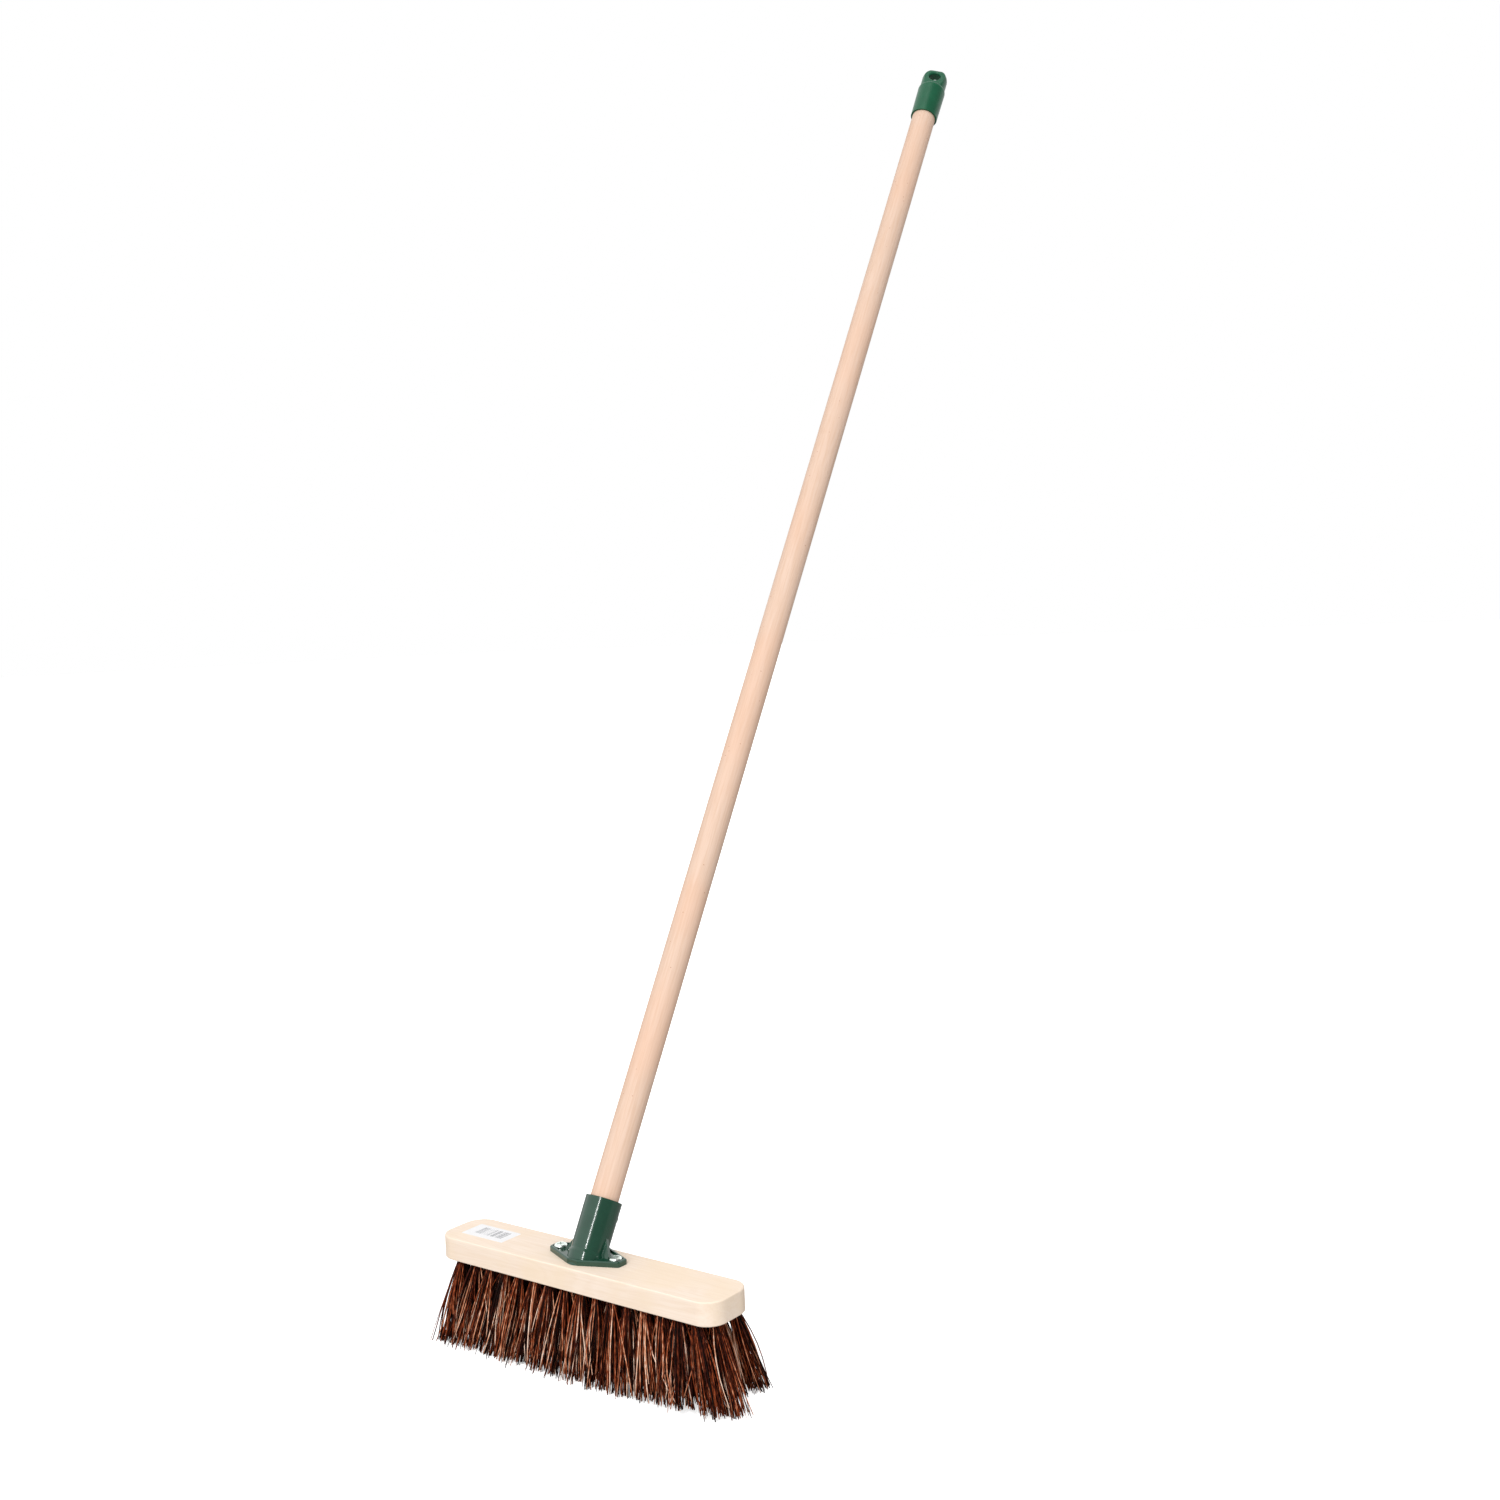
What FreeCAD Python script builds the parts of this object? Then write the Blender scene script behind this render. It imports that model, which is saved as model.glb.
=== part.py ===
import FreeCAD, Part
import math
import os

# A push broom: timber stock, four rows of anchored tufts, a moulded socket bracket screwed to the
# stock, a round timber handle leaning back from it, and a moulded hang cap with an eye.
# Sizes are in millimetres and degrees. +Z is up, +X runs along the stock, the handle leans
# towards +Y, and the origin is the centre of the bristle tips, on the floor.

# Timber stock
stock_length = 300.0
stock_width = 52.0
stock_thickness = 19.5
stock_corner_radius = 17.0
stock_top_round = 1.2
stock_bottom_chamfer = 0.8

# Bristle fill
bristle_length = 68.0  # underside of the stock to the trimmed tips
long_row_tufts = 17  # the second and back rows; the other two hold one tuft fewer
tuft_rows = 4
end_margin = 14.0  # end of the stock to the last tuft hole
side_margin = 8.0  # long side of the stock to the outer rows
end_splay = 16.0  # outward lean of the last tufts at their tips, along the stock
side_splay = 14.0  # outward lean of the outer rows at their tips, across the stock
tuft_hole_radius = 3.75
tuft_hole_depth = 10.0
tuft_fit = 0.1  # between a tuft and the wall and end of its hole
tuft_tip_gap = 4.0  # between neighbouring tufts at the tips

# Wire anchors that pin each folded tuft in its hole
anchor_bite = 1.0  # how far each end cuts into the timber beside the hole
anchor_height = 2.0
anchor_thickness = 0.4
anchor_cover = 2.0  # folded end of the tuft to the anchor

# Handle
handle_diameter = 24.0
handle_length = 1219.0
handle_lean = 30.0  # from upright
handle_end_chamfer = 1.5

# Socket bracket: tube
socket_wall = 3.0
socket_fit = 0.15  # radial, between the handle and the tube's bore
socket_height = 48.0  # top of the stock to the rim, along the handle
socket_rim_growth = 0.3  # how much wider the radius is at the rim, as draft
socket_floor = 1.7  # least thickness under the handle's end
socket_lead_in = 0.8
socket_foot_growth = 1.2  # how much wider the radius is where the tube meets the flange
socket_foot_height = 2.5

# Socket bracket: flange
flange_half_length = 38.0
flange_half_width = 19.0
flange_set_back = 1.2  # centre of the flange behind the point the handle is aimed at
flange_thickness = 4.5
flange_end_half = 3.5  # half of the straight side at each end
flange_end_radius = 2.5
flange_front_half = 5.0  # half of the short straight side at the front and back
flange_corner_radius = 3.0
flange_bevel = 0.9
flange_rim_width = 2.2
flange_recess = 1.5

# Socket bracket: ribs
rib_thickness = 3.2
rib_height = 18.0  # along the handle
rib_screw_gap = 1.6  # end of a rib to the screw head beside it
front_rib_height = 6.0  # above the top of the flange

# Screws
flange_screw_spacing = 60.0
screw_head_radius = 5.5
screw_head_height = 3.0
screw_head_round = 1.8
screw_crest_radius = 2.1
screw_core_radius = 1.5
screw_thread_pitch = 1.6
screw_point_length = 3.0
screw_hole_fit = 0.3  # radial, between a screw and the hole it passes through
screw_end_clearance = 1.0  # point of a flange screw to the depth of the tuft holes
driver_slot_length = 5.4
driver_slot_width = 1.1
driver_slot_depth = 1.6

# Screw that holds the handle, through the back of the tube
retaining_screw_height = 36.0  # along the handle, from the top of the stock
retaining_screw_length = 13.0
retaining_boss_radius = 5.6
retaining_boss_stand = 1.2  # beyond the tube's surface

# Hang cap
cap_wall = 1.7
cap_fit = 0.15  # radial, between the handle and the cap
cap_depth = 37.0  # how much of the handle the cap covers
cap_shoulder_growth = 0.5  # how much wider the radius is at the shoulder
cap_shoulder_round = 5.0
cap_floor = 2.5
cap_head_radius = 13.2  # of the head seen from the front
cap_head_height = 22.5  # end of the cap's floor to the top of the head
cap_head_thickness = 20.0  # front to back, where the head leaves the shoulder
cap_head_tip_radius = 5.5  # front to back, over the top of the head
cap_turn = 30.0  # about the handle, from the front towards the right end of the stock
eye_radius = 6.0
eye_height = 10.4  # end of the cap's floor to the centre of the eye
eye_lip = 1.6

# Paper label on the stock
label_length = 48.0
label_width = 24.0
label_thickness = 0.15
label_corner_radius = 1.0
label_end_gap = 16.0  # end of the stock to the label

X_AXIS = FreeCAD.Vector(1, 0, 0)
Z_AXIS = FreeCAD.Vector(0, 0, 1)

stock_top = bristle_length + stock_thickness
tuft_pitch = (stock_length - 2 * end_margin) / (long_row_tufts - 1)
row_spacing = (stock_width - 2 * side_margin) / (tuft_rows - 1)
handle_radius = handle_diameter / 2
lean = math.radians(handle_lean)

# The handle's end is square to its axis, so one side of it comes nearest to the stock.
handle_seat = (socket_floor + (handle_radius + socket_fit) * math.sin(lean)) / math.cos(lean)
handle_top = handle_seat + handle_length
socket_outer_radius = handle_radius + socket_fit + socket_wall

# The handle's own frame: +Z along the handle from the top of the stock, -Y to the front.
handle_frame = FreeCAD.Placement(
    FreeCAD.Vector(0, 0, stock_top), FreeCAD.Rotation(X_AXIS, -handle_lean)
)


def lean_back(shape):
    placed = shape.copy()
    placed.Placement = handle_frame.multiply(placed.Placement)
    return placed


def disc_outline(discs, height):
    # The closed outline drawn tight around discs (x, y, radius) given anticlockwise.
    sides = []
    for (x1, y1, r1), (x2, y2, r2) in zip(discs, discs[1:] + discs[:1]):
        step = math.hypot(x2 - x1, y2 - y1)
        along = ((x2 - x1) / step, (y2 - y1) / step)
        turn = (r1 - r2) / step
        straight = math.sqrt(1 - turn * turn)
        outward = (
            straight * along[1] + turn * along[0],
            -straight * along[0] + turn * along[1],
        )
        start = FreeCAD.Vector(x1 + r1 * outward[0], y1 + r1 * outward[1], height)
        end = FreeCAD.Vector(x2 + r2 * outward[0], y2 + r2 * outward[1], height)
        sides.append((start, end, outward))
    edges = []
    for number, (start, end, outward) in enumerate(sides):
        following_start, _, following_outward = sides[(number + 1) % len(sides)]
        x, y, radius = discs[(number + 1) % len(discs)]
        middle = FreeCAD.Vector(
            outward[0] + following_outward[0], outward[1] + following_outward[1], 0
        )
        middle.normalize()
        crown = FreeCAD.Vector(x, y, height) + middle * radius
        edges.append(Part.LineSegment(start, end).toShape())
        edges.append(Part.Arc(end, crown, following_start).toShape())
    return Part.Wire(edges)


def rounded_rectangle(length, width, radius):
    across = length / 2 - radius
    up = width / 2 - radius
    return [(-across, -up, radius), (across, -up, radius), (across, up, radius), (-across, up, radius)]


def plate(discs, bottom, thickness):
    return Part.Face(disc_outline(discs, bottom)).extrude(Z_AXIS * thickness)


def edges_at_height(solid, height):
    found = []
    for edge in solid.Edges:
        if abs(edge.BoundBox.ZMin - height) < 1e-4 and abs(edge.BoundBox.ZMax - height) < 1e-4:
            found.append(edge)
    return found


def centred_box(length, width, height):
    return Part.makeBox(length, width, height, FreeCAD.Vector(-length / 2, -width / 2, -height / 2))


# --- Tufts and their anchors ---


def tuft_columns():
    # For each column along the stock, the (x, y) of its tuft holes: every other row.
    columns = []
    for column in range(2 * long_row_tufts - 1):
        x = (column - (long_row_tufts - 1)) * tuft_pitch / 2
        rows = range((column + 1) % 2, tuft_rows, 2)
        columns.append([(x, (row - (tuft_rows - 1) / 2) * row_spacing, row) for row in rows])
    return columns


def tuft_line(x, y):
    # The mouth of a tuft hole, the direction the tuft leaves it, and its length to the floor.
    mouth = FreeCAD.Vector(x, y, bristle_length)
    last_x = stock_length / 2 - end_margin
    last_y = stock_width / 2 - side_margin
    tip = FreeCAD.Vector(x + end_splay * x / last_x, y + side_splay * y / last_y, 0)
    direction = tip - mouth
    length = direction.Length
    direction.normalize()
    return mouth, direction, length


def tip_radius():
    last_x = stock_length / 2 - end_margin
    last_y = stock_width / 2 - side_margin
    along = tuft_pitch * (1 + end_splay / last_x)
    across = row_spacing * (1 + side_splay / last_y)
    nearest = min(along, math.hypot(along / 2, across))
    return (nearest - tuft_tip_gap) / 2


def hole_length(direction):
    return tuft_hole_depth / -direction.z


def tuft_hole(x, y):
    mouth, direction, _ = tuft_line(x, y)
    start = mouth + direction * tuft_hole_radius
    length = hole_length(direction) + tuft_hole_radius
    return Part.makeCylinder(tuft_hole_radius, length, start, direction * -1)


def tuft_anchor(x, y):
    mouth, direction, _ = tuft_line(x, y)
    depth = hole_length(direction) - tuft_fit - anchor_cover - anchor_height / 2
    anchor = centred_box(2 * (tuft_hole_radius + anchor_bite), anchor_thickness, anchor_height)
    anchor.Placement = FreeCAD.Placement(
        mouth - direction * depth, FreeCAD.Rotation(Z_AXIS, direction * -1)
    )
    return anchor


def tuft(x, y):
    mouth, direction, length = tuft_line(x, y)
    radius = tuft_hole_radius - tuft_fit
    held = hole_length(direction) - tuft_fit
    past_floor = 1.2  # the splayed end is drawn longer than it is, then trimmed level
    splayed_radius = radius + (tip_radius() - radius) * past_floor
    root = Part.makeCylinder(radius, held, mouth - direction * held, direction)
    splayed = Part.makeCone(radius, splayed_radius, length * past_floor, mouth, direction)
    trim = centred_box(2 * stock_length, 2 * stock_length, 2 * bristle_length)
    trim.translate(FreeCAD.Vector(0, 0, -bristle_length))
    return root.fuse(splayed).cut([trim, tuft_anchor(x, y)])


# --- Screws: made point down, with the seat of the head at height 0 ---


def screw_envelope(length, radius):
    shank = Part.makeCylinder(radius, length - screw_point_length, -Z_AXIS * (length - screw_point_length))
    point = Part.makeCone(0, radius, screw_point_length, -Z_AXIS * length)
    return shank.fuse(point)


def pan_head_screw(length):
    head = Part.makeCylinder(screw_head_radius, screw_head_height)
    head = head.makeFillet(screw_head_round, edges_at_height(head, screw_head_height))
    slot_bottom = screw_head_height - driver_slot_depth / 2
    for turned in (45, 135):
        slot = centred_box(driver_slot_length, driver_slot_width, driver_slot_depth)
        slot.Placement = FreeCAD.Placement(
            Z_AXIS * slot_bottom, FreeCAD.Rotation(Z_AXIS, turned)
        )
        head = head.cut(slot)
    threaded = length - screw_point_length
    turns = int(threaded / screw_thread_pitch)
    plain = threaded - turns * screw_thread_pitch
    outline = [(0, 0), (screw_core_radius, 0), (screw_core_radius, -plain)]
    for turn in range(turns):
        top = -plain - turn * screw_thread_pitch
        outline.append((screw_crest_radius, top - screw_thread_pitch / 2))
        outline.append((screw_core_radius, top - screw_thread_pitch))
    outline.append((0, -length))
    corners = [FreeCAD.Vector(radius, 0, height) for radius, height in outline]
    section = Part.Face(Part.makePolygon(corners + corners[:1]))
    return head.fuse(section.revolve(FreeCAD.Vector(0, 0, 0), Z_AXIS, 360))


flange_seat = stock_top + flange_thickness - flange_recess
flange_screw_length = stock_thickness - tuft_hole_depth - screw_end_clearance + flange_seat - stock_top
flange_screw_places = [
    FreeCAD.Vector(-flange_screw_spacing / 2, flange_set_back, flange_seat),
    FreeCAD.Vector(flange_screw_spacing / 2, flange_set_back, flange_seat),
]

# The retaining screw's seat faces the back of the handle's frame, +Y.
retaining_frame = FreeCAD.Placement(
    FreeCAD.Vector(0, socket_outer_radius + retaining_boss_stand, retaining_screw_height),
    FreeCAD.Rotation(X_AXIS, -90),
)


def placed_at(shape, placement):
    placed = shape.copy()
    placed.Placement = placement
    return placed


# --- Broom parts ---


def broom_stock():
    outline = rounded_rectangle(stock_length, stock_width, stock_corner_radius)
    block = plate(outline, bristle_length, stock_thickness)
    block = block.makeFillet(stock_top_round, edges_at_height(block, stock_top))
    block = block.makeChamfer(stock_bottom_chamfer, edges_at_height(block, bristle_length))
    cutters = []
    for column in tuft_columns():
        for x, y, _ in column:
            cutters.append(tuft_hole(x, y).fuse(tuft_anchor(x, y)))
    for place in flange_screw_places:
        pilot = screw_envelope(flange_screw_length, screw_crest_radius)
        cutters.append(placed_at(pilot, FreeCAD.Placement(place, FreeCAD.Rotation())))
    return block.cut(cutters)


def flange_discs(inset):
    end_x = flange_half_length - flange_end_radius
    side_y = flange_half_width - flange_corner_radius
    end = flange_end_radius - inset
    corner = flange_corner_radius - inset
    discs = [
        (-end_x, flange_end_half, end),
        (-end_x, -flange_end_half, end),
        (-flange_front_half, -side_y, corner),
        (flange_front_half, -side_y, corner),
        (end_x, -flange_end_half, end),
        (end_x, flange_end_half, end),
        (flange_front_half, side_y, corner),
        (-flange_front_half, side_y, corner),
    ]
    return [(x, y + flange_set_back, radius) for x, y, radius in discs]


def side_rib():
    # Drawn in the handle's frame on the +X side, and mirrored for the other.
    reach = flange_screw_spacing / 2 - screw_head_radius - rib_screw_gap
    corners = [
        FreeCAD.Vector(handle_radius + socket_wall / 2, 0, -flange_thickness),
        FreeCAD.Vector(reach, 0, -flange_thickness),
        FreeCAD.Vector(reach, 0, flange_thickness),
        FreeCAD.Vector(socket_outer_radius, 0, rib_height),
        FreeCAD.Vector(handle_radius + socket_wall / 2, 0, rib_height),
    ]
    rib = Part.Face(Part.makePolygon(corners + corners[:1]))
    rib = rib.extrude(FreeCAD.Vector(0, rib_thickness, 0))
    rib.translate(FreeCAD.Vector(0, -rib_thickness / 2, 0))
    return rib


def front_rib():
    # A small web up the front of the tube, drawn square to the stock.
    top = stock_top + flange_thickness + front_rib_height
    foot = stock_top + flange_thickness - flange_recess
    front_at_top = (top - stock_top) * math.tan(lean) - socket_outer_radius / math.cos(lean)
    corners = [
        FreeCAD.Vector(0, flange_set_back - flange_half_width + flange_rim_width, foot),
        FreeCAD.Vector(0, 0, foot),
        FreeCAD.Vector(0, 0, top),
        FreeCAD.Vector(0, front_at_top, top),
    ]
    rib = Part.Face(Part.makePolygon(corners + corners[:1]))
    rib = rib.extrude(FreeCAD.Vector(rib_thickness, 0, 0))
    rib.translate(FreeCAD.Vector(-rib_thickness / 2, 0, 0))
    return rib


def socket_bracket():
    flange = plate(flange_discs(0), stock_top, flange_thickness)
    flange = flange.makeChamfer(flange_bevel, edges_at_height(flange, stock_top + flange_thickness))
    flange = flange.cut(plate(flange_discs(flange_rim_width), flange_seat, flange_thickness))

    below_stock_top = 2 * socket_outer_radius  # drawn past the stock, then trimmed
    tube_length = socket_height + below_stock_top
    growth = socket_rim_growth * tube_length / socket_height
    tube = Part.makeCone(
        socket_outer_radius + socket_rim_growth - growth,
        socket_outer_radius + socket_rim_growth,
        tube_length,
        -Z_AXIS * below_stock_top,
    )
    foot_top = flange_seat - stock_top + socket_foot_height
    foot_bottom = -socket_outer_radius
    foot_radius = socket_outer_radius + socket_foot_growth * (foot_top - foot_bottom) / socket_foot_height
    foot = Part.makeCone(foot_radius, socket_outer_radius, foot_top - foot_bottom, Z_AXIS * foot_bottom)
    foot = foot.common(Part.makeCylinder(
        socket_outer_radius + socket_foot_growth, foot_top - foot_bottom, Z_AXIS * foot_bottom
    ))
    boss = Part.makeCylinder(
        retaining_boss_radius,
        socket_wall + retaining_boss_stand,
        FreeCAD.Vector(0, handle_radius + socket_fit, retaining_screw_height),
        FreeCAD.Vector(0, 1, 0),
    )
    rib = side_rib()
    left_rib = rib.mirror(FreeCAD.Vector(0, 0, 0), X_AXIS)
    upright = tube.fuse([foot, boss, rib, left_rib])

    trim = centred_box(4 * flange_half_length, 4 * flange_half_length, 4 * socket_height)
    trim.translate(FreeCAD.Vector(0, 0, stock_top - 2 * socket_height))
    bracket = lean_back(upright).cut(trim).fuse([flange, front_rib()])

    bore_radius = handle_radius + socket_fit
    bore = Part.makeCylinder(bore_radius, socket_height, Z_AXIS * handle_seat)
    lead_in = Part.makeCone(
        bore_radius,
        bore_radius + 2 * socket_lead_in,
        2 * socket_lead_in,
        Z_AXIS * (socket_height - socket_lead_in),
    )
    hole = Part.makeCylinder(
        screw_crest_radius + screw_hole_fit,
        socket_outer_radius,
        FreeCAD.Vector(0, socket_outer_radius + retaining_boss_stand, retaining_screw_height),
        FreeCAD.Vector(0, -1, 0),
    )
    cutters = [lean_back(bore), lean_back(lead_in), lean_back(hole)]
    for place in flange_screw_places:
        cutters.append(Part.makeCylinder(
            screw_crest_radius + screw_hole_fit, flange_thickness, place, -Z_AXIS
        ))
    return bracket.cut(cutters).removeSplitter()


def handle_pole():
    pole = Part.makeCylinder(handle_radius, handle_length, Z_AXIS * handle_seat)
    ends = edges_at_height(pole, handle_seat) + edges_at_height(pole, handle_top)
    pole = pole.makeChamfer(handle_end_chamfer, ends)
    pilot = placed_at(screw_envelope(retaining_screw_length, screw_crest_radius), retaining_frame)
    return lean_back(pole.cut(pilot))


def cap_head_wedge(floor_end):
    # Thick at the shoulder and rounded over at the top, drawn across the whole width of the head.
    half_foot = cap_head_thickness / 2
    tip_centre = cap_head_height - cap_head_tip_radius
    across = half_foot - cap_head_tip_radius
    fall = math.asin(across / math.hypot(across, tip_centre))
    side = cap_head_tip_radius * math.cos(fall)
    rise = cap_head_tip_radius * math.sin(fall)
    width = 2 * cap_head_radius

    def spot(y, height):
        return FreeCAD.Vector(-width / 2, y, floor_end + height)

    corners = [spot(-half_foot, -cap_shoulder_round), spot(half_foot, -cap_shoulder_round)]
    front = Part.LineSegment(spot(-half_foot, 0), spot(-side, tip_centre + rise)).toShape()
    top = Part.Arc(
        spot(-side, tip_centre + rise), spot(0, cap_head_height), spot(side, tip_centre + rise)
    ).toShape()
    back = Part.LineSegment(spot(side, tip_centre + rise), spot(half_foot, 0)).toShape()
    foot = Part.makePolygon([spot(half_foot, 0), corners[1], corners[0], spot(-half_foot, 0)])
    section = Part.Face(Part.Wire([front, top, back] + foot.Edges))
    return section.extrude(X_AXIS * width)


def cap_head(floor_end):
    # An arch seen from the front and a wedge seen from the side.
    foot = floor_end - cap_shoulder_round
    arch_centre = floor_end + cap_head_height - cap_head_radius
    lower = Part.makeCylinder(cap_head_radius, arch_centre - foot, Z_AXIS * foot)
    dome = Part.makeSphere(cap_head_radius, Z_AXIS * arch_centre)
    bullet = lower.fuse(dome).removeSplitter()
    eye_start = FreeCAD.Vector(0, -cap_head_thickness, floor_end + eye_height)
    eye = Part.makeCylinder(eye_radius, 2 * cap_head_thickness, eye_start, FreeCAD.Vector(0, 1, 0))
    head = bullet.common(cap_head_wedge(floor_end)).cut(eye)
    return head.makeFillet(eye_lip, eye_rims(head))


def eye_rims(head):
    # The two rims lie in the sloping faces, and each is as wide as the eye.
    rims = []
    for edge in head.Edges:
        box = edge.BoundBox
        across = abs(box.XMin + eye_radius) < 1e-3 and abs(box.XMax - eye_radius) < 1e-3
        if across and edge.isClosed():
            rims.append(edge)
    return rims


def hang_cap():
    mouth = handle_top - cap_depth
    floor_end = handle_top + cap_floor
    mouth_radius = handle_radius + cap_fit + cap_wall
    shoulder_radius = mouth_radius + cap_shoulder_growth
    body = Part.makeCone(mouth_radius, shoulder_radius, floor_end - mouth, Z_AXIS * mouth)
    body = body.makeFillet(cap_shoulder_round, edges_at_height(body, floor_end))
    bore = Part.makeCylinder(handle_radius + cap_fit, cap_depth, Z_AXIS * mouth)

    cap = body.fuse(cap_head(floor_end)).cut(bore)
    cap.rotate(FreeCAD.Vector(0, 0, 0), Z_AXIS, cap_turn)
    return lean_back(cap)


def stock_label():
    centre_x = -stock_length / 2 + label_end_gap + label_length / 2
    outline = rounded_rectangle(label_length, label_width, label_corner_radius)
    label = plate(outline, stock_top, label_thickness)
    label.translate(X_AXIS * centre_x)
    return label


def main():
    os.makedirs("parts", exist_ok=True)
    nodes = {
        "broom_stock": broom_stock(),
        "socket_bracket": socket_bracket(),
        "handle_pole": handle_pole(),
        "hang_cap": hang_cap(),
        "stock_label": stock_label(),
    }
    retaining_screw = placed_at(pan_head_screw(retaining_screw_length), retaining_frame)
    nodes["handle_retaining_screw"] = lean_back(retaining_screw)
    for side, place in zip(("left", "right"), flange_screw_places):
        seat = FreeCAD.Placement(place, FreeCAD.Rotation())
        nodes["flange_screw_" + side] = placed_at(pan_head_screw(flange_screw_length), seat)
    anchors = [[] for _ in range(tuft_rows)]
    for number, column in enumerate(tuft_columns(), start=1):
        nodes[f"tuft_column_{number:02d}"] = Part.makeCompound([tuft(x, y) for x, y, _ in column])
        for x, y, row in column:
            anchors[row].append(tuft_anchor(x, y))
    for number, row_anchors in enumerate(anchors, start=1):
        nodes[f"tuft_anchors_row_{number}"] = Part.makeCompound(row_anchors)
    for name, shape in nodes.items():
        shape.exportStep(os.path.join("parts", name + ".step"))
        print(name, len(shape.Solids), "solids", round(shape.Volume), "mm3", shape.isValid())


main()
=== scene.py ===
import math
import random

import bpy
from mathutils import Matrix, Quaternion, Vector


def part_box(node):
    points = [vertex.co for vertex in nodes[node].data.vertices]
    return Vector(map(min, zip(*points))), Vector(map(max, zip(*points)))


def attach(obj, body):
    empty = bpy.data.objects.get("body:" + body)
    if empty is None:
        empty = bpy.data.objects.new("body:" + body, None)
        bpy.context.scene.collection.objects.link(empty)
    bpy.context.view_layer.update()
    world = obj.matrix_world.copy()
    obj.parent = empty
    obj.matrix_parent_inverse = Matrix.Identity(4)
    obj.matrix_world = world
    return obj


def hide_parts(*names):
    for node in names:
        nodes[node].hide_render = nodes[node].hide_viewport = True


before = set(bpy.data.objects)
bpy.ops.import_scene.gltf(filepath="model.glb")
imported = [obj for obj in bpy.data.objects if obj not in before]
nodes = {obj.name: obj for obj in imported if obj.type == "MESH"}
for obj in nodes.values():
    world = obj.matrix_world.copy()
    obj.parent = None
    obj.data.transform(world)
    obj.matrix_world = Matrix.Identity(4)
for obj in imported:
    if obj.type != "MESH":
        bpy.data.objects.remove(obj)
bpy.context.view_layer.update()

mm = 0.001
stockLow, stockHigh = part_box("broom_stock")
endTolerance = 0.7 * mm  # well inside the chamfer at each end of the handle


def handleEnds():
    # centres of the handle's two end rings, measured on its CAD node
    points = [vertex.co for vertex in nodes["handle_pole"].data.vertices]
    lowest = min(points, key=lambda point: point.z)
    roughAxis = (max(points, key=lambda point: point.z) - lowest).normalized()
    reach = [point.dot(roughAxis) for point in points]
    for end in (min(reach), max(reach)):
        ring = [point for point, along in zip(points, reach) if abs(along - end) < endTolerance]
        yield Vector([(min(p[i] for p in ring) + max(p[i] for p in ring)) / 2 for i in range(3)])


# the handle's own frame: z runs up the handle from the top of the stock, -y is its front
handleBottom, handleTop = handleEnds()
handleLean = math.atan2(handleTop.y - handleBottom.y, handleTop.z - handleBottom.z)
handleFrame = Matrix.Translation((0, 0, stockHigh.z)) @ Matrix.Rotation(-handleLean, 4, "X")


def newMesh(name, points, faces, smooth=True):
    mesh = bpy.data.meshes.new(name)
    mesh.from_pydata(points, [], faces)
    mesh.polygons.foreach_set("use_smooth", [smooth] * len(mesh.polygons))
    mesh.update()
    piece = bpy.data.objects.new(name, mesh)
    bpy.context.scene.collection.objects.link(piece)
    return piece


def standFor(piece, node):
    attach(piece, "root")
    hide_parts(node)


def dress(node, material):
    for slot in nodes[node].material_slots:
        slot.material = material


def linearColour(red, green, blue):
    # 0-255 display values, as a colour picker shows them
    def one(value):
        value /= 255
        return value / 12.92 if value <= 0.04045 else ((value + 0.055) / 1.055) ** 2.4
    return (one(red), one(green), one(blue), 1)


class GroupMaker:
    # a node group with named sockets, and short calls for the nodes inside it
    def __init__(self, name, inputs, outputs):
        self.tree = bpy.data.node_groups.new(name, "ShaderNodeTree")
        for label, kind, value in inputs:
            socket = self.tree.interface.new_socket(name=label, in_out="INPUT", socket_type=kind)
            if value is not None:
                socket.default_value = value
        for label, kind in outputs:
            self.tree.interface.new_socket(name=label, in_out="OUTPUT", socket_type=kind)
        self.source = self.tree.nodes.new("NodeGroupInput")
        self.sink = self.tree.nodes.new("NodeGroupOutput")

    def add(self, kind, links=None, **settings):
        return addNode(self.tree, kind, links, **settings)

    def give(self, label, socket):
        self.tree.links.new(socket, self.sink.inputs[label])

    def get(self, label):
        return self.source.outputs[label]


def addNode(tree, kind, links=None, **settings):
    # links: input socket name or number -> a value, or another node's output
    node = tree.nodes.new("ShaderNode" + kind)
    for key, value in settings.items():
        setattr(node, key, value)
    for key, value in (links or {}).items():
        if isinstance(value, bpy.types.NodeSocket):
            tree.links.new(value, node.inputs[key])
        else:
            node.inputs[key].default_value = value
    return node


def addMath(tree, operation, first, second=0.0, clamp=False):
    return addNode(tree, "Math", {0: first, 1: second}, operation=operation, use_clamp=clamp).outputs[0]


def addMix(tree, share, first, second, blend="MIX"):
    node = tree.nodes.new("ShaderNodeMix")
    node.data_type = "RGBA"
    node.blend_type = blend
    for key, value in ((0, share), (6, first), (7, second)):
        if isinstance(value, bpy.types.NodeSocket):
            tree.links.new(value, node.inputs[key])
        else:
            node.inputs[key].default_value = value
    return node.outputs[2]


def addRange(tree, value, low, high, newLow=0.0, newHigh=1.0):
    links = {"Value": value, "From Min": low, "From Max": high, "To Min": newLow, "To Max": newHigh}
    return addNode(tree, "MapRange", links, interpolation_type="SMOOTHSTEP").outputs["Result"]


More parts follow.
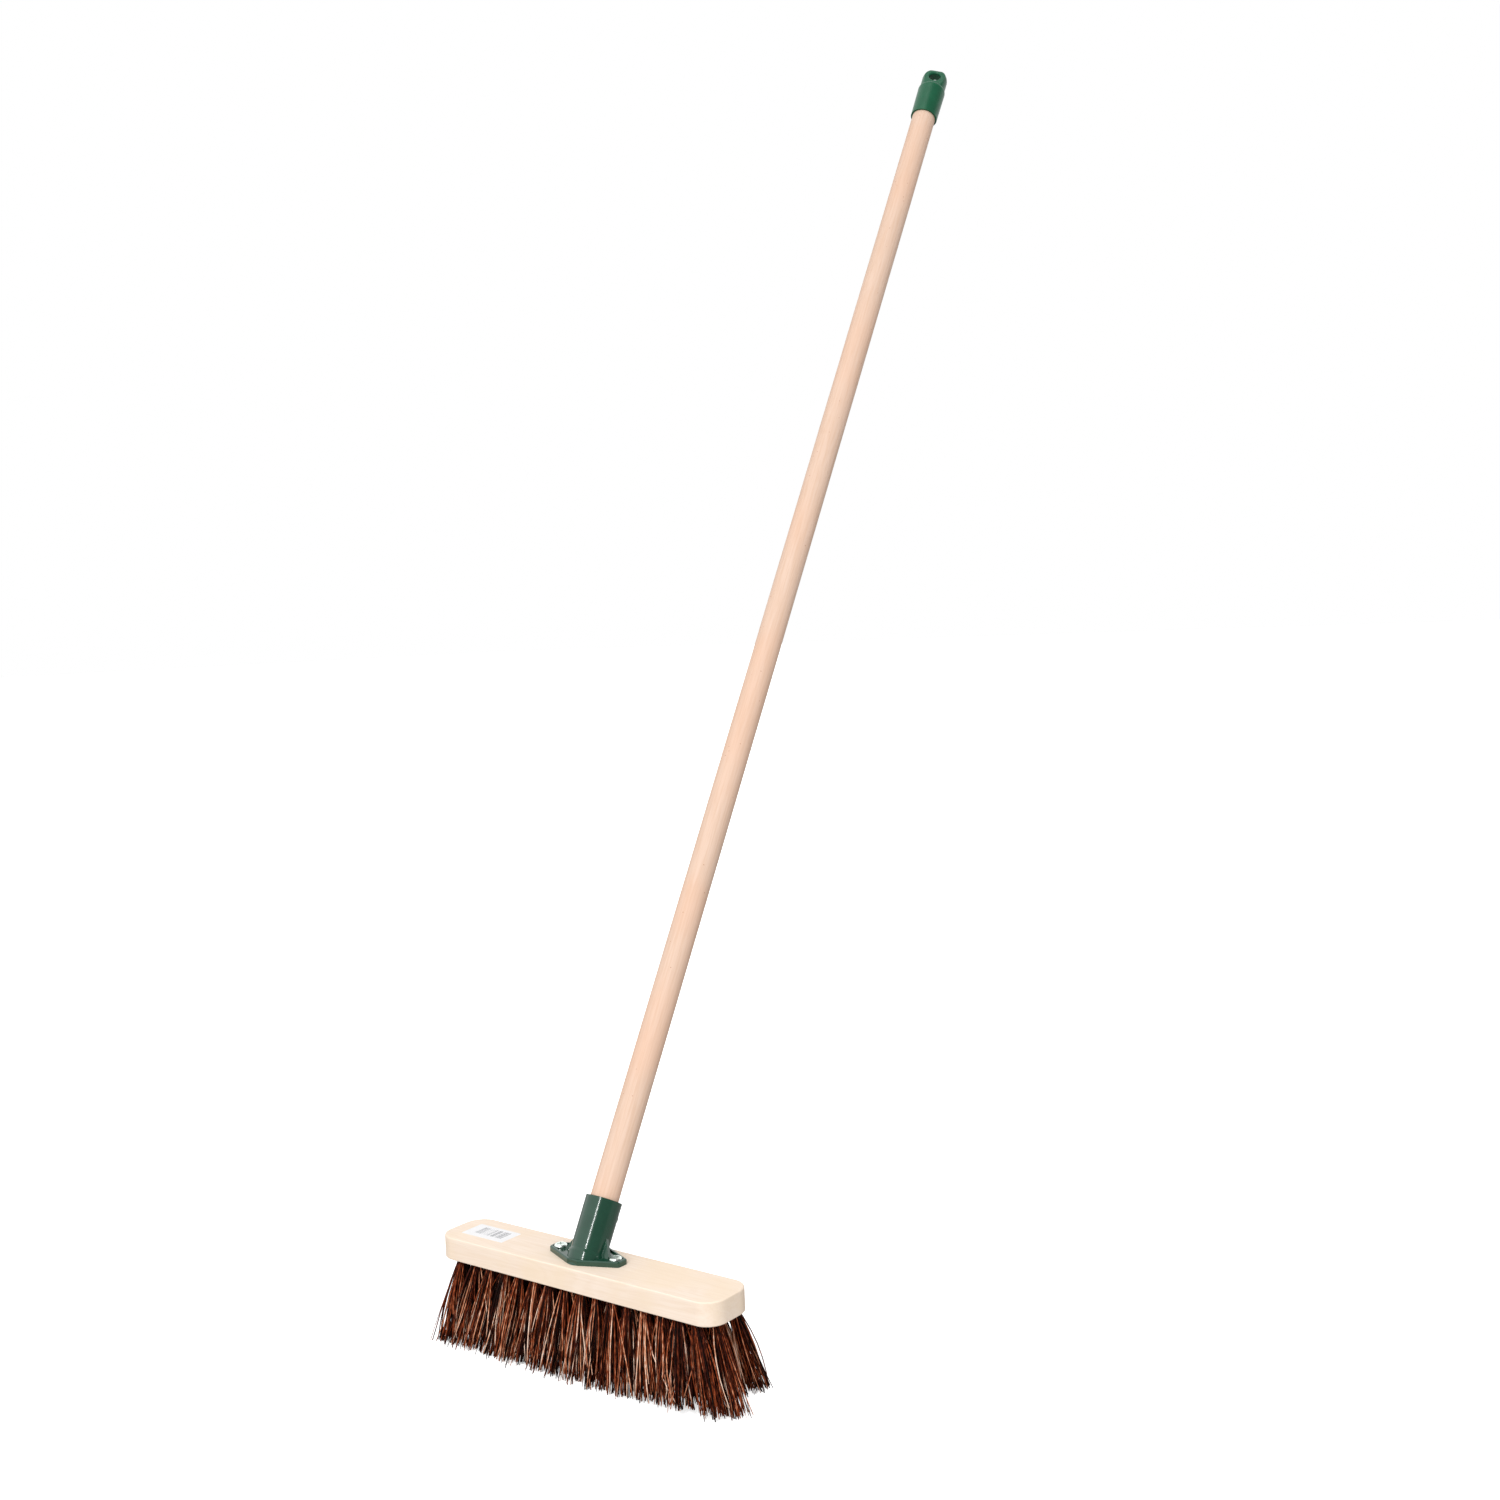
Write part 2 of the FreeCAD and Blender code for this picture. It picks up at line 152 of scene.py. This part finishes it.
def makeTimberGrain():
    # long streaks and broad figure, along the x axis of the vector it is given
    group = GroupMaker(
        "timberGrain",
        [("Vector", "NodeSocketVector", None), ("Pale", "NodeSocketColor", (0.8, 0.7, 0.6, 1)),
         ("Dark", "NodeSocketColor", (0.6, 0.5, 0.4, 1)), ("Streak", "NodeSocketFloat", 0.5),
         ("Figure", "NodeSocketFloat", 0.5), ("Fineness", "NodeSocketFloat", 500.0)],
        [("Color", "NodeSocketColor"), ("Height", "NodeSocketFloat"), ("Shade", "NodeSocketFloat")])
    tree = group.tree
    drawnOut = {0: group.get("Vector"), 1: (0.035, 1, 1)}  # stretched along the grain
    halfDrawn = {0: group.get("Vector"), 1: (0.14, 1, 1)}
    long = group.add("VectorMath", drawnOut, operation="MULTIPLY").outputs[0]
    broad = group.add("VectorMath", halfDrawn, operation="MULTIPLY").outputs[0]
    streaks = group.add("TexNoise", {"Vector": long, "Scale": group.get("Fineness"), "Detail": 4.0,
                                     "Roughness": 0.62, "Distortion": 0.3}).outputs["Fac"]
    figure = group.add("TexNoise", {"Vector": broad, "Scale": 42.0, "Detail": 3.0, "Roughness": 0.5,
                                    "Distortion": 1.1}).outputs["Fac"]
    rings = addMath(tree, "SINE", addMath(tree, "MULTIPLY", figure, 46.0))
    rings = addRange(tree, rings, -1.0, 1.0)
    streakShare = addMath(tree, "MULTIPLY", addRange(tree, streaks, 0.38, 0.66), group.get("Streak"))
    figureShare = addMath(tree, "MULTIPLY", rings, group.get("Figure"))
    shade = addMath(tree, "ADD", streakShare, figureShare, clamp=True)
    group.give("Color", addMix(tree, shade, group.get("Pale"), group.get("Dark")))
    group.give("Height", addMath(tree, "SUBTRACT", 1.0, shade))
    group.give("Shade", shade)
    return tree


def makeFlecks():
    # sparse little marks: pin knots, pores, grit
    group = GroupMaker(
        "flecks",
        [("Vector", "NodeSocketVector", None), ("Scale", "NodeSocketFloat", 60.0),
         ("Size", "NodeSocketFloat", 0.08), ("Share", "NodeSocketFloat", 0.3)],
        [("Mask", "NodeSocketFloat")])
    tree = group.tree
    vector = group.get("Vector")
    cells = group.add("TexVoronoi", {"Vector": vector, "Scale": group.get("Scale")})
    ragged = group.add("TexNoise", {"Vector": vector, "Scale": 900.0, "Detail": 2.0}).outputs["Fac"]
    reach = addMath(tree, "MULTIPLY", group.get("Size"), addMath(tree, "ADD", ragged, 0.5))
    inside = addMath(tree, "LESS_THAN", cells.outputs["Distance"], reach)
    pick = group.add("SeparateColor", {0: cells.outputs["Color"]}).outputs[0]
    chosen = addMath(tree, "LESS_THAN", pick, group.get("Share"))
    group.give("Mask", addMath(tree, "MULTIPLY", inside, chosen))
    return tree


def makeMoulded():
    # injection-moulded plastic: faint colour drift, uneven gloss, fine orange peel
    group = GroupMaker(
        "mouldedSurface",
        [("Vector", "NodeSocketVector", None), ("Base", "NodeSocketColor", (0.05, 0.1, 0.08, 1)),
         ("Drift", "NodeSocketColor", (0.05, 0.12, 0.1, 1)), ("Gloss", "NodeSocketFloat", 0.2),
         ("Unevenness", "NodeSocketFloat", 0.1)],
        [("Color", "NodeSocketColor"), ("Roughness", "NodeSocketFloat"), ("Height", "NodeSocketFloat")])
    tree = group.tree
    vector = group.get("Vector")
    drift = group.add("TexNoise", {"Vector": vector, "Scale": 55.0, "Detail": 3.0}).outputs["Fac"]
    peel = group.add("TexNoise", {"Vector": vector, "Scale": 420.0, "Detail": 2.0}).outputs["Fac"]
    scuffs = group.add("TexNoise", {"Vector": vector, "Scale": 160.0, "Detail": 5.0,
                                    "Roughness": 0.7}).outputs["Fac"]
    driftShare = addRange(tree, drift, 0.35, 0.65)
    group.give("Color", addMix(tree, driftShare, group.get("Base"), group.get("Drift")))
    spread = addMath(tree, "MULTIPLY", addRange(tree, scuffs, 0.4, 0.7), group.get("Unevenness"))
    group.give("Roughness", addMath(tree, "ADD", group.get("Gloss"), spread))
    group.give("Height", peel)
    return tree


timberGrain = makeTimberGrain()
flecks = makeFlecks()
mouldedSurface = makeMoulded()
print("shader groups ready")


fineRelief = 0.1 * mm  # depth of the finest bumps


def startMaterial(name):
    material = bpy.data.materials.new(name)
    material.use_nodes = True
    tree = material.node_tree
    shader = tree.nodes["Principled BSDF"]
    place = addNode(tree, "TexCoord").outputs["Object"]
    return material, tree, shader, place


def addGroup(tree, group, links):
    node = tree.nodes.new("ShaderNodeGroup")
    node.node_tree = group
    for key, value in links.items():
        if isinstance(value, bpy.types.NodeSocket):
            tree.links.new(value, node.inputs[key])
        else:
            node.inputs[key].default_value = value
    return node


def addBump(tree, shader, height, strength, distance):
    bump = addNode(tree, "Bump", {"Height": height, "Strength": strength, "Distance": distance})
    tree.links.new(bump.outputs["Normal"], shader.inputs["Normal"])


def makeTimber(name, look):
    material, tree, shader, place = startMaterial(name)
    turned = addNode(tree, "Mapping", {"Vector": place, "Rotation": look["turn"], "Location": look["shift"]})
    vector = turned.outputs[0]
    grain = addGroup(tree, timberGrain, {
        "Vector": vector, "Pale": look["pale"], "Dark": look["dark"], "Streak": look["streak"],
        "Figure": look["figure"], "Fineness": look["fineness"]})
    marks = addGroup(tree, flecks, {
        "Vector": vector, "Scale": look["fleckScale"], "Size": look["fleckSize"],
        "Share": look["fleckShare"]})
    patches = addNode(tree, "TexNoise", {"Vector": vector, "Scale": look["patchScale"], "Detail": 2.0})
    patchMask = addRange(tree, patches.outputs["Fac"], 0.42, 0.68)
    patchShare = addMath(tree, "MULTIPLY", patchMask, look["patchShare"])
    colour = addMix(tree, patchShare, grain.outputs["Color"], look["patch"])
    colour = addMix(tree, addMath(tree, "MULTIPLY", marks.outputs["Mask"], 0.75), colour, look["fleck"])
    tree.links.new(colour, shader.inputs["Base Color"])
    rough = addRange(tree, grain.outputs["Shade"], 0.0, 1.0, look["roughness"], look["roughness"] + 0.14)
    tree.links.new(rough, shader.inputs["Roughness"])
    dents = addMath(tree, "SUBTRACT", grain.outputs["Height"], marks.outputs["Mask"])
    addBump(tree, shader, dents, look["bump"], 2 * fineRelief)
    shader.inputs["Specular IOR Level"].default_value = look["specular"]
    return material


stockLook = {
    "pale": linearColour(242, 225, 209), "dark": linearColour(231, 209, 186),
    "patch": linearColour(238, 217, 190), "patchShare": 0.55, "patchScale": 22.0,
    "fleck": linearColour(150, 112, 80), "fleckScale": 60.0, "fleckSize": 0.05, "fleckShare": 0.8,
    "streak": 0.35, "figure": 0.22, "fineness": 620.0, "roughness": 0.58, "bump": 0.25,
    "specular": 0.3, "turn": (0.02, 0.01, 0.015), "shift": (0.3, 0.1, 0.2)}
handleLook = {
    "pale": linearColour(221, 193, 174), "dark": linearColour(210, 176, 151),
    "patch": linearColour(224, 179, 151), "patchShare": 0.3, "patchScale": 11.0,
    "fleck": linearColour(168, 108, 74), "fleckScale": 220.0, "fleckSize": 0.1, "fleckShare": 0.15,
    "streak": 0.55, "figure": 0.12, "fineness": 700.0, "roughness": 0.56, "bump": 0.2,
    "specular": 0.18, "turn": (handleLean, math.pi / 2, 0), "shift": (0, 0, 0)}
stockTimber = makeTimber("stockTimber", stockLook)
handleTimber = makeTimber("handleTimber", handleLook)


def makePlastic(name, look):
    material, tree, shader, place = startMaterial(name)
    surface = addGroup(tree, mouldedSurface, {
        "Vector": place, "Base": look["base"], "Drift": look["drift"], "Gloss": look["gloss"],
        "Unevenness": look["unevenness"]})
    tree.links.new(surface.outputs["Color"], shader.inputs["Base Color"])
    tree.links.new(surface.outputs["Roughness"], shader.inputs["Roughness"])
    addBump(tree, shader, surface.outputs["Height"], look["bump"], fineRelief)
    shader.inputs["Specular IOR Level"].default_value = look["specular"]
    return material


socketLook = {"base": linearColour(24, 62, 47), "drift": linearColour(28, 67, 51), "gloss": 0.13,
              "unevenness": 0.04, "bump": 0.02, "specular": 0.6}
capLook = {"base": linearColour(14, 84, 56), "drift": linearColour(19, 90, 61), "gloss": 0.36,
           "unevenness": 0.06, "bump": 0.03, "specular": 0.34}
socketPlastic = makePlastic("socketPlastic", socketLook)
capPlastic = makePlastic("capPlastic", capLook)


zincLook = {"pale": linearColour(240, 247, 242), "dark": linearColour(206, 218, 210), "cloudScale": 900.0,
            "smoothest": 0.2, "roughest": 0.36, "bump": 0.25}


def makeZinc(look):
    material, tree, shader, place = startMaterial("zincPlate")
    cloudLinks = {"Vector": place, "Scale": look["cloudScale"], "Detail": 4.0}
    cloud = addNode(tree, "TexNoise", cloudLinks).outputs["Fac"]
    share = addRange(tree, cloud, 0.35, 0.7)
    tree.links.new(addMix(tree, share, look["pale"], look["dark"]), shader.inputs["Base Color"])
    rough = addRange(tree, cloud, 0.3, 0.7, look["smoothest"], look["roughest"])
    tree.links.new(rough, shader.inputs["Roughness"])
    addBump(tree, shader, cloud, look["bump"], fineRelief)
    shader.inputs["Metallic"].default_value = 1.0
    return material


zincPlate = makeZinc(zincLook)


# colour of a strand by its tone, from the darkest to the palest
fibreLook = {
    "stops": [(0.0, linearColour(14, 2, 0)), (0.3, linearColour(66, 20, 8)),
              (0.55, linearColour(150, 70, 36)), (0.8, linearColour(220, 154, 118)),
              (1.0, linearColour(252, 220, 198))],
    "mottle": 0.16, "mottleScale": 650.0, "smoothest": 0.42, "roughest": 0.6, "bump": 0.3, "specular": 0.08}


def makeFibreMaterial(look):
    material, tree, shader, place = startMaterial("bristleFibre")
    # fibreTone holds each strand's own tone, with painted shade darkening it towards the root
    tone = addNode(tree, "Attribute", attribute_name="fibreTone").outputs["Fac"]
    along = addNode(tree, "VectorMath", {0: place, 1: (1, 1, 0.12)}, operation="MULTIPLY").outputs[0]
    mottleLinks = {"Vector": along, "Scale": look["mottleScale"], "Detail": 3.0}
    mottle = addNode(tree, "TexNoise", mottleLinks).outputs["Fac"]
    shift = addRange(tree, mottle, 0.3, 0.7, -look["mottle"], look["mottle"])
    tone = addMath(tree, "ADD", tone, shift, clamp=True)
    ramp = addNode(tree, "ValToRGB", {0: tone})
    stops = look["stops"]
    bands = ramp.color_ramp.elements
    bands[0].position, bands[0].color = stops[0]
    bands[1].position, bands[1].color = stops[-1]
    for position, colour in stops[1:-1]:
        bands.new(position).color = colour
    tree.links.new(ramp.outputs["Color"], shader.inputs["Base Color"])
    rough = addRange(tree, mottle, 0.3, 0.7, look["smoothest"], look["roughest"])
    tree.links.new(rough, shader.inputs["Roughness"])
    addBump(tree, shader, mottle, look["bump"], fineRelief)
    shader.inputs["Specular IOR Level"].default_value = look["specular"]
    return material


bristleFibre = makeFibreMaterial(fibreLook)


labelLook = {
    "paper": linearColour(240, 239, 240), "paperShade": linearColour(230, 230, 232),
    "ink": linearColour(78, 80, 88), "inkShare": 0.92,
    "barsPerMetre": 520.0, "thinnestBar": 0.12, "thickestBar": 0.55,
    "blockCentre": 0.001, "blockHalfLength": 0.0155, "blockHalfHeight": 0.0068, "bump": 0.12}


def makeLabelPaper(look):
    # white paper with a block of uneven grey bars that says nothing
    material, tree, shader, place = startMaterial("labelPaper")
    low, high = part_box("stock_label")
    middle = (low + high) / 2
    centred = addNode(tree, "VectorMath", {0: place, 1: middle}, operation="SUBTRACT").outputs[0]
    axes = addNode(tree, "SeparateXYZ", {0: centred})
    barPlace = addMath(tree, "MULTIPLY", axes.outputs[0], look["barsPerMetre"])
    chance = addNode(tree, "TexWhiteNoise", {"W": addMath(tree, "FLOOR", barPlace)}, noise_dimensions="1D")
    width = addRange(tree, chance.outputs["Value"], 0.0, 1.0, look["thinnestBar"], look["thickestBar"])
    ink = addMath(tree, "LESS_THAN", addMath(tree, "FRACT", barPlace), width)
    for axis, half in ((0, look["blockHalfLength"]), (1, look["blockHalfHeight"])):
        off = addMath(tree, "ABSOLUTE", addMath(tree, "SUBTRACT", axes.outputs[axis], look["blockCentre"]))
        ink = addMath(tree, "MULTIPLY", ink, addMath(tree, "LESS_THAN", off, half))
    fibres = addNode(tree, "TexNoise", {"Vector": place, "Scale": 1500.0, "Detail": 3.0}).outputs["Fac"]
    paper = addMix(tree, addRange(tree, fibres, 0.35, 0.7), look["paper"], look["paperShade"])
    inkShare = addMath(tree, "MULTIPLY", ink, look["inkShare"])
    tree.links.new(addMix(tree, inkShare, paper, look["ink"]), shader.inputs["Base Color"])
    tree.links.new(addRange(tree, fibres, 0.3, 0.7, 0.5, 0.68), shader.inputs["Roughness"])
    addBump(tree, shader, fibres, look["bump"], fineRelief)
    return material


labelPaper = makeLabelPaper(labelLook)
print("materials ready")


# the darkening of the strands towards their roots is painted shade, not their own colour
bristles = {
    "fibresPerTuft": 92, "rootRadius": 0.0028, "tipSpread": 0.0084, "wander": 0.0032,
    "thickness": 0.00042, "thinnest": 0.6, "thickest": 1.45, "taper": 0.8, "sides": 5, "rings": 7,
    "bow": 0.0018, "wriggle": 0.0005, "insideHole": 0.004, "unevenTips": 0.0013,
    "strays": 0.05, "strayWander": (0.015, 0.004), "strayShort": 0.012,
    "tone": 0.28, "toneSpread": 0.31, "paleShare": 0.06, "paleTone": 0.78, "paintedRootShade": 0.45,
    "leftBend": (0.006, 0, 0), "cornerBend": (0.008, 0.003, 0.004), "rightBend": (0.006, -0.003, 0),
    "backBend": (-0.004, 0, 0), "trimRise": 0.007, "riseFrom": 0.05,
    "endShare": 0.7, "seed": 11}


def fibrePath(root, tip, bow, wriggle, phase, rings):
    side = bow.cross(tip - root).normalized() if bow.length > 0 else Vector((1, 0, 0))
    for ring in range(rings):
        t = ring / (rings - 1)
        yield (root.lerp(tip, t) + bow * math.sin(math.pi * t)
               + side * wriggle * math.sin(2 * math.pi * (1.3 * t + phase)) * t)


def addFibre(points, faces, tones, path, radius, tone, turn, fill):
    taper, sides = fill["taper"], fill["sides"]
    first = len(points)
    path = list(path)
    for ring, centre in enumerate(path):
        ahead = path[min(ring + 1, len(path) - 1)] - path[max(ring - 1, 0)]
        across = ahead.cross(Vector((math.cos(turn), math.sin(turn), 0))).normalized()
        over = ahead.cross(across).normalized()
        t = ring / (len(path) - 1)
        size = radius * (1 - (1 - taper) * t * t)
        for side in range(sides):
            angle = 2 * math.pi * side / sides
            points.append(centre + across * size * math.cos(angle) + over * size * math.sin(angle))
            # painted shade: each strand's tone is darkened towards its root, where the tufts go into the
            # stock
            tones.append(tone * (1 - fill["paintedRootShade"] * (1 - t) ** 3))
    for ring in range(len(path) - 1):
        start = first + ring * sides
        for side in range(sides):
            after = (side + 1) % sides
            faces.append((start + side, start + after, start + sides + after, start + sides + side))
    faces.append(tuple(first + side for side in reversed(range(sides))))
    last = first + (len(path) - 1) * sides
    faces.append(tuple(last + side for side in range(sides)))


def middleOf(points):
    # middle of the ring a set of points fills, at their mean height
    xs, ys = [p.x for p in points], [p.y for p in points]
    return Vector(((min(xs) + max(xs)) / 2, (min(ys) + max(ys)) / 2, sum(p.z for p in points) / len(points)))


def tuftAxes(node):
    # mouth and tip centres of the two tufts of a column, measured on its CAD node
    points = [vertex.co for vertex in nodes[node].data.vertices]
    split = (min(p.y for p in points) + max(p.y for p in points)) / 2
    for side in (False, True):
        tuft = [p for p in points if (p.y > split) == side]
        mouth = middleOf([p for p in tuft if abs(p.z - stockLow.z) < mm])
        tips = middleOf([p for p in tuft if p.z < mm])
        tips.z = 0
        yield mouth, tips


def makeTuft(points, faces, tones, mouth, tipCentre, rng, fill):
    axis = (tipCentre - mouth).normalized()
    rootCentre = mouth - axis * fill["insideHole"]
    for _ in range(fill["fibresPerTuft"]):
        angle = rng.uniform(0, 2 * math.pi)
        reach = math.sqrt(rng.random())
        spot = Vector((math.cos(angle), math.sin(angle), 0)) * reach
        root = rootCentre + spot * fill["rootRadius"]
        stray = rng.random() < fill["strays"]
        alongX, alongY = fill["strayWander"] if stray else (fill["wander"], fill["wander"])
        drift = Vector((rng.gauss(0, alongX), rng.gauss(0, alongY), 0))
        if stray and abs(mouth.x) > stockHigh.x * fill["endShare"]:
            drift.x = -math.copysign(drift.x, mouth.x)  # the end tufts' strays lie across, not outward
        tip = tipCentre + spot * fill["tipSpread"] + drift
        tip.z = tipCentre.z + abs(rng.gauss(0, fill["unevenTips"]))
        if stray:
            tip.z += rng.uniform(0, fill["strayShort"])
        bow = Vector((rng.gauss(0, fill["bow"]), rng.gauss(0, fill["bow"]), 0)) * (2.0 if stray else 1.0)
        middle = fill["paleTone"] if stray or rng.random() < fill["paleShare"] else fill["tone"]
        tone = min(max(rng.gauss(middle, fill["toneSpread"]), 0), 1)
        path = fibrePath(root, tip, bow, rng.gauss(0, fill["wriggle"]), rng.random(), fill["rings"])
        radius = fill["thickness"] * rng.uniform(fill["thinnest"], fill["thickest"])
        addFibre(points, faces, tones, path, radius, tone, rng.uniform(0, math.pi), fill)


def wear(tips, fromLeft, fromRight, fill):
    # use has bent the end tufts and worn the front row shorter towards the right end
    front = tips.y < 0
    if fromLeft < 2:
        return Vector(fill["leftBend"])
    if fromRight < 2 and not front:
        return Vector(fill["backBend"])
    if fromRight < 2:
        return Vector(fill["cornerBend"] if fromRight else fill["rightBend"])
    along = min(max((tips.x - fill["riseFrom"]) / (stockHigh.x - fill["riseFrom"]), 0), 1)
    return Vector((0, 0, fill["trimRise"] * along if front else 0))


def makeBristles(fill):
    columns = sorted(name for name in nodes if name.startswith("tuft_column_"))
    for index, node in enumerate(columns):
        rng = random.Random(fill["seed"] * 1000 + index)
        points, faces, tones = [], [], []
        for mouth, tips in tuftAxes(node):
            tips += wear(tips, index, len(columns) - 1 - index, fill)
            makeTuft(points, faces, tones, mouth, tips, rng, fill)
        piece = newMesh(node.replace("tuft_column", "bristles"), points, faces)
        layer = piece.data.attributes.new("fibreTone", "FLOAT", "POINT")
        layer.data.foreach_set("value", tones)
        piece.data.materials.append(bristleFibre)
        standFor(piece, node)


makeBristles(bristles)
print("bristles ready")


handle = {"sides": 72, "rings": 60, "uneven": 0.00006}


def makeHandle(sizes):
    # length, radius and end chamfer measured in the handle's own frame on the CAD node
    toHandle = handleFrame.inverted()
    places = [toHandle @ vertex.co for vertex in nodes["handle_pole"].data.vertices]
    bottom, top = min(p.z for p in places), max(p.z for p in places)
    radius = max(math.hypot(p.x, p.y) for p in places)
    endRadius = max(math.hypot(p.x, p.y) for p in places if p.z < bottom + mm / 10)
    chamfer = radius - endRadius
    rows = [(bottom, endRadius), (bottom + chamfer, radius)]
    for ring in range(1, sizes["rings"]):
        rows.append((bottom + chamfer + (top - bottom - 2 * chamfer) * ring / sizes["rings"], radius))
    rows += [(top - chamfer, radius), (top, endRadius)]
    points, faces = [], []
    sides = sizes["sides"]
    for z, radius in rows:
        for side in range(sides):
            angle = 2 * math.pi * side / sides
            wave = sizes["uneven"] * math.sin(3 * angle + 14 * z) * math.sin(23 * z)
            spot = Vector((math.cos(angle), math.sin(angle), 0)) * (radius + wave)
            points.append(handleFrame @ (spot + Vector((0, 0, z))))
    for ring in range(len(rows) - 1):
        for side in range(sides):
            a, b = ring * sides + side, ring * sides + (side + 1) % sides
            faces.append((a, b, b + sides, a + sides))
    faces.append(tuple(reversed(range(sides))))
    faces.append(tuple(range((len(rows) - 1) * sides, len(rows) * sides)))
    piece = newMesh("handlePole", points, faces)
    piece.data.set_sharp_from_angle(angle=math.radians(30))
    piece.data.materials.append(handleTimber)
    standFor(piece, "handle_pole")


makeHandle(handle)
print("handle ready")

dress("broom_stock", stockTimber)
dress("socket_bracket", socketPlastic)
dress("hang_cap", capPlastic)
dress("stock_label", labelPaper)
for name in nodes:
    if "screw" in name or "anchor" in name:
        dress(name, zincPlate)
print("CAD nodes dressed")


floorLook = {"size": 40.0, "pale": (0.86, 0.86, 0.86, 1), "paler": (0.9, 0.9, 0.9, 1),
             "bounce": (0.44, 0.43, 0.42, 1), "lift": 0.62}


def makeFloor(look):
    size = look["size"]
    corners = [(-size, -size, 0), (size, -size, 0), (size, size, 0), (-size, size, 0)]
    floor = newMesh("floor", corners, [(0, 1, 2, 3)])
    material, tree, shader, place = startMaterial("paleFloor")
    seen = addNode(tree, "LightPath").outputs["Is Camera Ray"]
    drift = addNode(tree, "TexNoise", {"Vector": place, "Scale": 0.8, "Detail": 2.0}).outputs["Fac"]
    tree.links.new(addMix(tree, seen, look["bounce"], addMix(tree, drift, look["pale"], look["paler"])),
                   shader.inputs["Base Color"])
    # the floor glows a little to the eye so that it runs into the background without an edge
    tree.links.new(addMath(tree, "MULTIPLY", seen, look["lift"]), shader.inputs["Emission Strength"])
    shader.inputs["Emission Color"].default_value = (1, 1, 1, 1)
    shader.inputs["Roughness"].default_value = 0.9
    shader.inputs["Specular IOR Level"].default_value = 0.0
    floor.data.materials.append(material)


makeFloor(floorLook)

# bearings are degrees round the broom, 0 at its front and 90 at its right end
lights = {
    "key": {"bearing": 24, "height": 50, "spread": 16, "power": 0.94},
    "strip": {"bearing": 17.6, "distance": 2.4, "low": 0.45, "high": 2.6, "width": 0.09, "power": 34.0}}


def aimed(name, lamp, place, aim):
    holder = bpy.data.objects.new(name, lamp)
    holder.location = place
    holder.rotation_euler = (Vector(aim) - Vector(place)).to_track_quat("-Z", "Y").to_euler()
    bpy.context.scene.collection.objects.link(holder)


def bearingPoint(bearing, distance, height):
    angle = math.radians(bearing)
    return (distance * math.sin(angle), -distance * math.cos(angle), height)


def addKey(spec):
    lamp = bpy.data.lights.new("key", "SUN")
    lamp.energy = spec["power"]
    lamp.angle = math.radians(spec["spread"])
    # a sun's distance makes no difference, only its bearing and height
    place = bearingPoint(spec["bearing"], 3, 3 * math.tan(math.radians(spec["height"])))
    aimed("key", lamp, place, (0, 0, 0))


def addStrip(spec):
    lamp = bpy.data.lights.new("strip", "AREA")
    lamp.shape = "RECTANGLE"
    lamp.size = spec["width"]
    lamp.size_y = spec["high"] - spec["low"]
    lamp.energy = spec["power"]
    middle = (spec["high"] + spec["low"]) / 2
    aimed("strip", lamp, bearingPoint(spec["bearing"], spec["distance"], middle), (0, 0, middle))


addKey(lights["key"])
addStrip(lights["strip"])

# "mirror" levels are the ones that glossy surfaces reflect
studio = {"bright": 0.7, "dim": 0.88, "mirrorBright": 1.25, "mirrorDim": 0.22,
          "dimBearing": 84, "dimHalf": 58, "edge": 8, "overhead": 0.72, "overheadFrom": 0.75}


def makeStudio(levels):
    # pale walls that light the broom, with one side that looks dark in reflections; the eye sees plain white
    world = bpy.data.worlds.new("whiteStudio")
    world.use_nodes = True
    tree = world.node_tree
    walls = tree.nodes["Background"]
    way = addNode(tree, "SeparateXYZ", {0: addNode(tree, "TexCoord").outputs["Generated"]})
    bearing = addMath(tree, "ARCTAN2", way.outputs[0], addMath(tree, "MULTIPLY", way.outputs[1], -1.0))
    off = addMath(tree, "ABSOLUTE", addMath(tree, "SUBTRACT", bearing, math.radians(levels["dimBearing"])))
    inner = math.radians(levels["dimHalf"] - levels["edge"])
    outer = math.radians(levels["dimHalf"] + levels["edge"])
    mirrored = addNode(tree, "LightPath").outputs["Is Glossy Ray"]
    soft = addRange(tree, off, inner, outer, levels["dim"], levels["bright"])
    sharp = addRange(tree, off, inner, outer, levels["mirrorDim"], levels["mirrorBright"])
    up = addRange(tree, way.outputs[2], levels["overheadFrom"], 1.0)
    soft = addNode(tree, "Mix", {0: up, 2: soft, 3: levels["overhead"]}).outputs[0]
    level = addNode(tree, "Mix", {0: mirrored, 2: soft, 3: sharp}).outputs[0]
    tree.links.new(level, walls.inputs["Strength"])
    walls.inputs["Color"].default_value = (1, 1, 1, 1)
    plain = addNode(tree, "Background", {"Color": (1, 1, 1, 1), "Strength": 1.0})
    seen = addNode(tree, "LightPath").outputs["Is Camera Ray"]
    both = addNode(tree, "MixShader", {0: seen, 1: walls.outputs[0], 2: plain.outputs[0]})
    tree.links.new(both.outputs[0], tree.nodes["World Output"].inputs["Surface"])
    bpy.context.scene.world = world


makeStudio(studio)
bpy.context.scene.view_settings.view_transform = "Standard"

viewpoint = {"place": (0.94471, -1.005, 0.59725), "yaw": -37.0, "down": 4.17, "roll": -2.31, "lens": 41.29}


def addCamera(view):
    yaw, down, roll = (math.radians(view[key]) for key in ("yaw", "down", "roll"))
    forward = Vector((math.sin(yaw) * math.cos(down), math.cos(yaw) * math.cos(down), -math.sin(down)))
    level = Vector((math.cos(yaw), -math.sin(yaw), 0))
    right = Quaternion(forward, -roll) @ level
    up = right.cross(forward)
    turned = Matrix((right, up, -forward)).transposed().to_4x4()
    camera = bpy.data.objects.new("camera", bpy.data.cameras.new("camera"))
    camera.data.lens = view["lens"]
    camera.data.clip_end = 200
    camera.matrix_world = Matrix.Translation(view["place"]) @ turned
    bpy.context.scene.collection.objects.link(camera)
    bpy.context.scene.camera = camera


addCamera(viewpoint)
print("stage ready")
